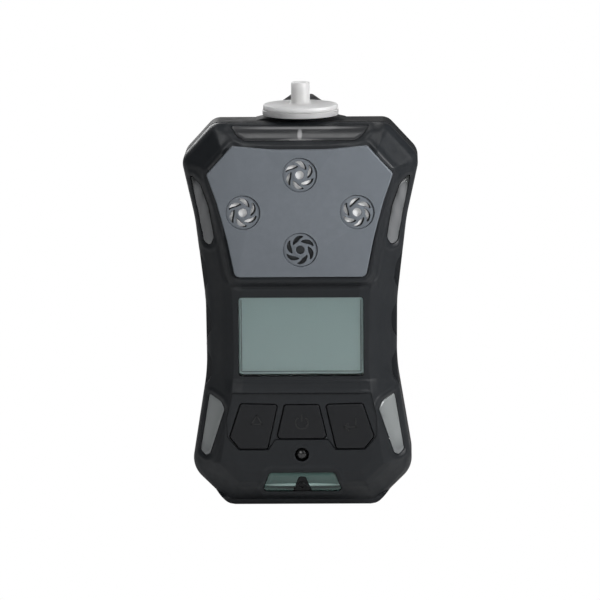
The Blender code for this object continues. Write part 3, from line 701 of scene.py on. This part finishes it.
def grille_slot(centre, turn, index, shade_lining):
    """One swept slot of a grille, from near the hub out to the rim, raked so one wall shows, its walls lined
    with a dark material as painted shade.
    """
    x, z = centre
    base = math.radians(360 / SLOTS * index + SLOT_FIRST[turn])
    inner, outer = SLOT_HALF_WIDTHS
    sides = []
    for side in (-1, 1):
        points = []
        for step in range(13):
            share = step / 12
            radius = SLOT_START + SLOT_LENGTH * share
            rounding = math.sqrt(max(0.1, 1 - (2 * share - 1) ** 6))
            half = math.radians(inner + (outer - inner) * share) * rounding
            angle = base + turn * math.radians(SLOT_SWEEP * (share - 0.5)) + side * half
            points.append((x + radius * math.cos(angle), z + radius * math.sin(angle)))
        sides.append(points)
    ring = sides[0] + sides[1][::-1]
    rings = [[(px + SLOT_RAKE[0] * share, y, pz + SLOT_RAKE[1] * share) for px, pz in ring]
             for y, share in SLOT_LEVELS]
    return skin("t", rings, shade_lining)


def build_sensor_panel(look):
    panel = soft_prism("sensor_panel", mirrored(PANEL), PANEL_FRONT, -18.45, 0.4, look["grey_plastic"], 14)
    for x, z in GRILLE_CENTRES.values():
        pocket = [(GRILLE_RADIUS, -18), (GRILLE_RADIUS, PANEL_FRONT + 0.25), (GRILLE_RADIUS + 0.4, -22)]
        carve(panel, [turned("t", pocket, (x + 0.08, 0, z + 0.04), "Y")])
    replace(panel, "sensor_cover")


def build_grilles(look):
    outer, bore = GRILLE_RADIUS - 0.12, GRILLE_BORE
    profile = [(bore, GRILLE_BACK), (outer, GRILLE_BACK), (outer, GRILLE_FRONT + 0.15),
               (outer - 0.25, GRILLE_FRONT), (2.3, GRILLE_FRONT), (2.1, HUB_FRONT), (bore + 0.15, HUB_FRONT),
               (bore, HUB_FRONT + 0.15)]
    for place, (x, z) in GRILLE_CENTRES.items():
        grille = turned("grille_" + place, profile, (x, 0, z), "Y", look["grey_plastic"], bored=True)
        for index in range(SLOTS):
            # the slot walls take the dark cloth as painted shade inside the slots
            slot = grille_slot((x, z), GRILLE_TURN[place], index, look["dark_cloth"])
            carve(grille, [slot], shade_lining=True)
        replace(grille, "sensor_cover")
        cloth = look["dark_membrane" if place == "bottom" else "filter_cloth"]
        front = MEMBRANE_FRONT[place]
        sheet = [(0.5, -18.7), (5.6, -18.7), (5.6, front), (0.5, front)]
        replace(turned("dust_membrane_" + place, sheet, (x, 0, z), "Y", cloth), "membrane_" + place)


def window_height(x, z):
    """The windows' own surface: just below the armour, with a light-catching rib in the bottom one."""
    height, edge = plain_height(x, z)
    height -= 0.2
    for name in WINDOW_NAMES:
        inside = inside_distance(rounded(window_outline(name), 4), x, z)
        height -= np.where(inside > -0.6, 0.45 * ridge(np.maximum(inside, 0), 0, 0.45), 0)
    height = shaped_ends(height, edge, x, z, 11.2)
    height += 0.45 * ridge(z, 8.1, 0.5) - 0.4 * ridge(z, 6.7, 0.35)
    guide = inside_distance(rounded(mirrored([(9.9, 8.9, 0.6), (9.9, 12, 1)]), 4), x, z)
    height -= 0.2 * ridge(guide, 0, 0.25) * ease(14, 13, z)
    return height


def copy_of(piece, name):
    made = piece.copy()
    made.data = piece.data.copy()
    made.name = name
    bpy.context.scene.collection.objects.link(made)
    return made


def boss_front(z):
    """How far the bottom window's surface stands forward on the centre line."""
    return float(window_height(np.array([[0.0]]), np.array([[z]]))[0, 0])


def build_windows(look):
    form = front_block("form", window_height, 1.3, False, FRONT_BACK_Y)
    carve(form, [loft("t", mirrored(HOUSING), FRONT_CAVITY, steps=6)])
    for name in WINDOW_NAMES:
        slot = name + "_window_plastic" if name in ("top", "bottom") else "window_plastic"
        window = prism("alarm_window_" + name, window_outline(name), WINDOW_Y, look[slot])
        carve(window, [copy_of(form, "t")], "INTERSECT")
        if name == "bottom":
            carve(window, [prism("t", inset(mirrored(BOSS), -GAP), (WINDOW_Y[0], WINDOW_SEAT_Y))])
        replace(window, "window_" + name)
    boss = prism("bottom_window_boss", mirrored(BOSS), (WINDOW_Y[0], -7.5), look["black_plastic"])
    carve(boss, [form], "INTERSECT")
    replace(boss, "window_bottom_boss")
    diamond = [(0, 6.3), (1.35, 7.9), (0, 9.5), (-1.35, 7.9)]
    for index in range(4):
        (x0, z0), (x1, z1) = diamond[index - 1], diamond[index]
        path = [(x, -boss_front(z) - 0.02, z) for x, z in ((x0, z0), (x1, z1))]
        replace(rod(f"boss_diamond_{index}", 0.16, *path, look["black_plastic"], 10), "window_bottom_boss")


def build_display(look):
    lens = soft_prism("display_lens_clear", lens_outline(), LENS_FRONT, LENS_BACK, 0.8,
                      look["display_plastic"], 8)
    replace(lens, "display_lens")
    panel = prism("liquid_crystal_panel", lens_outline(-0.6), LCD_Y, look["lcd_glass"], 4)
    replace(panel, "lcd_panel")
    low, high = LENS_Z[0] + 1.5, LENS_Z[1] - 0.8
    half = LENS_HALF_WIDTH - 0.9
    for index, (start, end) in enumerate((((-half, low), (half, low)), ((-half, low), (-half, high)),
                                          ((half, low), (half, high)))):
        ends = [(x, LENS_BACK - 0.1, z) for x, z in (start, end)]
        replace(rod(f"lens_edge_line_{index}", 0.13, *ends, look["lens_edge"], 8), "display_lens")


def arc_strip(radius, width, start, end, x, z, steps=28):
    """Outline of a curved strip between two angles in degrees."""
    angles = [math.radians(start + (end - start) * i / steps) for i in range(steps + 1)]
    sides = [[(x + r * math.cos(a), z + r * math.sin(a)) for a in angles]
             for r in (radius - width / 2, radius + width / 2)]
    return sides[0] + sides[1][::-1]


def line_strip(start, end, width):
    """Outline of a straight strip."""
    along = Vector((end[0] - start[0], end[1] - start[1])).normalized() * width / 2
    side = Vector((-along.y, along.x))
    first, last = Vector(start) - along, Vector(end) + along
    return [tuple(first + side), tuple(first - side), tuple(last - side), tuple(last + side)]


def key_marks():
    """Outlines of the raised marks: a triangle, a power sign and a return arrow."""
    triangle = [(-16.8, 29.2), (-13.4, 29.2), (-15.1, 32.2)]
    arrow, tip = [(14.4, 28.1), (18.2, 28.1), (18.2, 31)], (14.3, 28.1)
    return {
        "left": [line_strip(triangle[i], triangle[i - 1], MARK_WIDTH) for i in range(3)],
        "power": [arc_strip(2.1, 0.45, 125, 415, 0, 29.6), line_strip((0, 30.2), (0, 32.2), 0.45)],
        "right": [line_strip(start, end, MARK_WIDTH) for start, end in
                  ((arrow[0], arrow[1]), (arrow[1], arrow[2]), (tip, (15.7, 29.3)), (tip, (15.7, 26.9)))],
    }


def build_keys(look):
    levels = front_edge(KEY_FRONT, KEY_EDGE) + KEY_BACK
    marks = key_marks()
    for name in KEY_NAMES:
        key = loft("key_cap_" + name, key_outline(name), levels, look["soft_rubber"])
        replace(key, "key_" + name, body="key_" + name)
        for index, outline in enumerate(marks[name]):
            rings = [[(x, y, z) for x, z in outline] for y in (KEY_FRONT - 0.12, KEY_FRONT + 0.1)]
            mark = skin(f"key_mark_{name}_{index}", rings, look["key_print"])
            replace(mark, "key_" + name, body="key_" + name)


def build_port(look):
    dome = [(0.05, -19.75), (0.7, -19.68), (1.3, -19.45), (1.75, -19.05), (2, -18.5), (2.1, -17.8),
            (2.1, -16.85)]
    replace(turned("buzzer_dome", dome, (0, 0, PORT_Z), "Y", look["glossy_black"], 48), "buzzer_port_dome")


def rear_cutters():
    """What is cut from the rear cover: cavity, screw holes, inlet, contact opening and finger grooves."""
    tools = [loft("t", mirrored(HOUSING), REAR_CAVITY, steps=6)]
    for x, z in HOUSING_SCREWS.values():
        tools.append(turned("t", [(1.6, -4), (1.6, 18)], (x, 0, z), "Y"))
        tools.append(turned("t", [(2.9, 13.4), (2.9, 15.7), (3.3, 16.3)], (x, 0, z), "Y"))
    tools += [turned("t", [(1.5, 12), (1.5, 18)], (0, 0, z), "Y") for z in CLIP_SCREWS.values()]
    tools.append(turned("t", [(4.5, 124), (4.5, 132)], (0, INLET_Y, 0), "Z"))
    low, high, half = CONTACT_Z[0] - 0.3, CONTACT_Z[1] + 0.3, CONTACT_HALF_WIDTH + 0.3
    tools.append(prism("t", [(-half, low, 0.8), (half, low, 0.8), (half, high, 0.8), (-half, high, 0.8)],
                       (12, 18)))
    for side in (-1, 1):
        for row in range(GROOVES):
            z = GROOVE_LOW_Z + GROOVE_PITCH * row
            tools.append(rod("t", 0.75, (side * 14, 16.25, z), (side * 24, 16.25, z + 2), steps=12))
    return tools


def build_rear_cover(look):
    turns = [math.radians(90 * i / 10) for i in range(11)]
    levels = [(REAR_FRONT_Y, 0.25), (REAR_FRONT_Y + 0.25, 0)]
    levels += [(10 + 5.95 * math.sin(a), 5.5 * (1 - math.cos(a))) for a in turns]
    cover = loft("rear_shell", mirrored(HOUSING), levels, look["black_plastic"], 14, smooth_angle=25)
    mound = [(15.6, TALL - 1.5, 0.1), (15.6, TALL - 0.1, 1), (12.6, TALL + 0.6, 3)]
    carve(cover, [loft("t", mirrored(mound), [(0.4, 0.3), (0.8, 0), (11.5, 0), (12.5, 0.4)])], "UNION", 25)
    for tool in rear_cutters():
        carve(cover, [tool], smooth_angle=25)
    replace(cover, "rear_cover")


def build_seal(look):
    levels = ((-4.35, 0.9), (-4.1, 0.7), (-3.5, 0.7), (-3.25, 0.9), (-3.25, 2.2), (-4.35, 2.2))
    rings = [[(x, y, z) for x, z in rounded(inset(mirrored(HOUSING), amount))] for y, amount in levels]
    replace(skin("seal_ring", rings, look["soft_rubber"], ends=False), "housing_seal")


def build_filter(look):
    place = (0, INLET_Y, 0)
    base = [(1.6, 126.6), (2.95, 126.6), (2.95, 131), (12.1, 131), (12.6, 131.1), (12.85, 131.4),
            (12.85, 132.75), (12.7, 132.95), (11.2, 132.95), (11.2, 132.2), (1.6, 132.2)]
    cap = [(2.1, 133.05), (12.4, 133.05), (12.6, 133.2), (12.6, 134.3), (12.4, 134.6), (12.1, 134.7),
           (4.3, 134.7), (3.7, 134.85), (3.35, 135.2), (3.2, 136), (3.15, 141.7), (3, 142), (2.8, 142.1),
           (2.3, 142.1), (2.1, 141.9)]
    sheet = [(0.3, 132.55), (10.9, 132.55), (10.9, 132.85), (0.3, 132.85)]
    parts = (("filter_dish", base, "filter_plastic", "filter_base", True),
             ("filter_top", cap, "filter_plastic", "filter_cap", True),
             ("filter_sheet", sheet, "filter_cloth", "filter_membrane", False))
    for name, profile, slot, node, bored in parts:
        replace(turned(name, profile, place, "Z", look[slot], 96, bored), node, body="filter")


def build_inlet(look):
    socket = [(1, 119.6), (1.6, 119.6), (1.6, 124.9), (5.8, 124.9), (5.8, 126.3), (4.2, 126.3), (4.2, 129.7),
              (4, 129.9), (3.35, 129.9), (3.25, 129.8), (3.25, 126.2), (1, 126.2)]
    place = (0, INLET_Y, 0)
    replace(turned("inlet_boss", socket, place, "Z", look["black_plastic"], 48, True), "inlet_socket")
    ring = circle(0.4, 16, 3.7, 130.5)
    replace(turned("inlet_o_ring", ring, place, "Z", look["soft_rubber"], 48, True), "inlet_ring_seal")


def screw_head(name, place, radius, top_y, depth, material):
    """A domed screw head facing +Y, with a cross recess."""
    x, z = place
    dome = [(0.05, top_y - depth), (radius, top_y - depth), (radius, top_y - 0.35),
            (radius - 0.15, top_y - 0.15), (radius * 0.6, top_y), (0.05, top_y)]
    head = turned(name, dome, (x, 0, z), "Y", material, 48)
    arm, half = radius * 0.62, radius * 0.13
    for along_x in (True, False):
        w, h = (arm, half) if along_x else (half, arm)
        corners = [(x - w, z - h, 0.05), (x + w, z - h, 0.05), (x + w, z + h, 0.05), (x - w, z + h, 0.05)]
        carve(head, [prism("t", corners, (top_y - 0.6, top_y + 1))])
    return head


def build_screw(kind, name, place, head, shank, steel):
    """A screw of a head (radius, top, depth) and a shank (radius, start, end), as two pieces of one node."""
    x, z = place
    radius, start, end = shank
    pieces = [screw_head(f"{kind}_head_{name}", place, *head, steel),
              rod(f"{kind}_shank_{name}", radius, (x, start, z), (x, end, z), steel)]
    for piece in pieces:
        replace(piece, f"{kind}_{name}")


def build_screws(look):
    for name, place in HOUSING_SCREWS.items():
        build_screw("housing_screw", name, place, (2.6, 15, 1.3), (1.1, -12, 13.8), look["plated_steel"])
    for name, z in CLIP_SCREWS.items():
        build_screw("clip_screw", name, (0, z), (2.5, 19, 1.4), (1.2, 12.8, 17.7), look["plated_steel"])


def lever_side(thickness=1.2, steps=6):
    """The lever's closed side shape: a strip of even thickness along its middle line."""
    path = [Vector(p) for p in LEVER_LINE]
    fine = []
    for i in range(len(path) - 1):
        before, after = path[max(i - 1, 0)], path[min(i + 2, len(path) - 1)]
        for step in range(steps):
            t = step / steps
            start, end = (path[i + 1] - before) / 2, (after - path[i]) / 2
            fine.append(path[i] * (2 * t ** 3 - 3 * t * t + 1) + start * (t ** 3 - 2 * t * t + t)
                        + path[i + 1] * (3 * t * t - 2 * t ** 3) + end * (t ** 3 - t * t))
    fine.append(path[-1])
    front, back = [], []
    for i, point in enumerate(fine):
        along = (fine[min(i + 1, len(fine) - 1)] - fine[max(i - 1, 0)]).normalized()
        across = Vector((along.y, -along.x)) * thickness / 2
        front.append(tuple(point + across))
        back.append(tuple(point - across))
    return front + back[::-1]


def build_clip_plate(look):
    """The plate screwed to the back, with an ear on each side for the pin."""
    y, z = CLIP_PIN
    plate = block("clip_plate", (-10, 10), (16.3, 17.4), (90, 121), look["dark_steel"], corner=3, edge=0.3)
    ear = [(16.9, 104), (21, 104), (23.2, 106), (23.2, 110), (21, 112), (16.9, 112)]
    for side in (-1, 1):
        rings = [[(x, ey, ez) for ey, ez in ear] for x in (side * 8.6, side * 9.8)]
        carve(plate, [skin("t", rings)], "UNION")
    carve(plate, [rod("t", PIN_HOLE_RADIUS, (-12, y, z), (12, y, z))])
    for screw_z in CLIP_SCREWS.values():
        carve(plate, [turned("t", [(1.6, 15), (1.6, 18.5)], (0, 0, screw_z), "Y")])
    replace(plate, "clip_base")


def build_clip_lever(look):
    """The bent lever, with a barrel on each side for the pin and grip grooves at the thumb end."""
    y, z = CLIP_PIN
    lever = skin("clip_arm", [[(x, py, pz) for py, pz in lever_side()] for x in (-9, 9)], look["dark_steel"])
    for side in (-1, 1):
        carve(lever, [rod("t", 2.4, (3.5 * side, y + 0.3, z), (7.8 * side, y + 0.3, z))], "UNION")
    carve(lever, [rod("t", PIN_HOLE_RADIUS, (-9.5, y, z), (9.5, y, z))])
    carve(lever, [prism("t", mirrored(LEVER_OUTLINE), (10, 30), steps=14)], "INTERSECT")
    for row in range(GRIP_GROOVES):
        for groove_y in (25.6, 26.95):
            level = GRIP_LOW_Z + GRIP_PITCH * row
            carve(lever, [rod("t", 0.3, (-9, groove_y, level), (9, groove_y, level), steps=8)])
    replace(lever, "clip_lever", body="clip_lever")


def build_clip_pin_and_spring(look):
    y, z = CLIP_PIN
    steel = look["plated_steel"]
    profile = [(0.05, -10.4), (0.8, -10.4), (1, -10.2), (1, 10.2), (0.8, 10.4), (0.05, 10.4)]
    replace(turned("clip_hinge_pin", profile, (0, y, z), "X", steel, 32), "clip_pin")
    steps, radius, width = 140, 1.6, 5.2
    coil = []
    for step in range(steps):
        angle = math.radians(8 * step)
        coil.append((-width / 2 + width * step / (steps - 1), y + radius * math.sin(angle),
                     z - radius * math.cos(angle)))
    replace(sweep("clip_coil", coil, 0.3, 0, steel, 12), "clip_spring")


def build_contacts(look):
    half, middle = CONTACT_HALF_WIDTH, sum(CONTACT_Z) / 2
    tray = block("contact_tray", (-half, half), (12.6, 15.6), CONTACT_Z, look["black_plastic"], corner=0.6)
    pad = [(0.05, 12.8), (1.7, 12.8), (1.7, 15.7), (1.55, 15.85), (0.05, 15.9)]
    for name, x in CONTACTS.items():
        carve(tray, [turned("t", [(2, 11), (2, 18)], (x, 0, middle), "Y")])
        replace(turned("contact_pad_" + name, pad, (x, 0, middle), "Y", look["gold_contact"], 48),
                "charge_contact_" + name)
    replace(tray, "charge_contact_block")


def finish_cad_nodes(look):
    """Carried-over CAD nodes take the material of their slot and slightly rounded edges."""
    for part in frame["record"]["subparts"]:
        node = frame["nodes"][part["node"]]
        node.data.materials.clear()
        node.data.materials.append(look[part["material_slot"]])
        bevel = node.modifiers.new("edges", "BEVEL")
        bevel.width, bevel.segments, bevel.angle_limit = 0.12 * MM, 2, math.radians(40)


# ---- studio ----

def seen_white(tree, plain_output, white):
    """Mixes a shader with white light for what the camera sees directly, and returns the mix."""
    emission = tree.nodes.new("ShaderNodeEmission")
    emission.inputs["Strength"].default_value = white
    mixed = tree.nodes.new("ShaderNodeMixShader")
    tree.links.new(tree.nodes.new("ShaderNodeLightPath").outputs["Is Camera Ray"], mixed.inputs[0])
    tree.links.new(plain_output, mixed.inputs[1])
    tree.links.new(emission.outputs[0], mixed.inputs[2])
    return mixed.outputs[0]


def build_floor():
    paper = bpy.data.materials.new("studio_white")
    paper.use_nodes = True
    tree = paper.node_tree
    shader = tree.nodes["Principled BSDF"]
    shader.inputs["Base Color"].default_value = (0.8, 0.8, 0.8, 1)
    shader.inputs["Roughness"].default_value = 0.9
    tree.links.new(seen_white(tree, shader.outputs[0], 1.0), tree.nodes["Material Output"].inputs["Surface"])
    points = [(x, y, 0) for x, y in circle(6000, 96)]
    make_piece("studio_floor", points, [tuple(range(96))], paper)


def build_studio():
    bpy.context.scene.view_settings.view_transform = "Standard"
    build_floor()
    world = bpy.data.worlds.new("studio_air")
    bpy.context.scene.world = world
    world.use_nodes = True
    tree = world.node_tree
    air = tree.nodes["Background"]
    air.inputs["Color"].default_value = (0.96, 0.98, 1, 1)
    air.inputs["Strength"].default_value = AIR_STRENGTH
    tree.links.new(seen_white(tree, air.outputs[0], 1.0), tree.nodes["World Output"].inputs["Surface"])
    for name, place, size, power in LIGHTS:
        light = bpy.data.lights.new(name, "AREA")
        light.energy, light.size = power, size * MM
        lamp = bpy.data.objects.new(name, light)
        lamp.location = Vector(place) * MM
        lamp.rotation_euler = (Vector((0, -5, 75)) * MM - lamp.location).to_track_quat("-Z", "Y").to_euler()
        bpy.context.scene.collection.objects.link(lamp)


def build_camera():
    target, distance = Vector(CAMERA_TARGET) * MM, CAMERA_DISTANCE * MM
    elevation, azimuth, roll = (math.radians(angle) for angle in CAMERA_ANGLES)
    camera = bpy.data.cameras.new("camera")
    camera.lens = CAMERA_LENS
    made = bpy.data.objects.new("camera", camera)
    away = Vector((math.sin(azimuth) * math.cos(elevation), -math.cos(azimuth) * math.cos(elevation),
                   math.sin(elevation)))
    made.location = target + away * distance
    turn = (-away).to_track_quat("-Z", "Y").to_matrix() @ Matrix.Rotation(roll, 3, "Z")
    made.rotation_euler = turn.to_euler()
    camera.clip_start, camera.clip_end = 0.01, 20
    bpy.context.scene.collection.objects.link(made)
    bpy.context.scene.camera = made


def main():
    look = make_materials()
    finish_cad_nodes(look)
    build_front_cover(look)
    build_sensor_panel(look)
    build_grilles(look)
    build_windows(look)
    build_display(look)
    build_keys(look)
    build_port(look)
    build_rear_cover(look)
    build_seal(look)
    build_filter(look)
    build_inlet(look)
    build_screws(look)
    build_clip_plate(look)
    build_clip_lever(look)
    build_clip_pin_and_spring(look)
    build_contacts(look)
    build_studio()
    build_camera()


main()
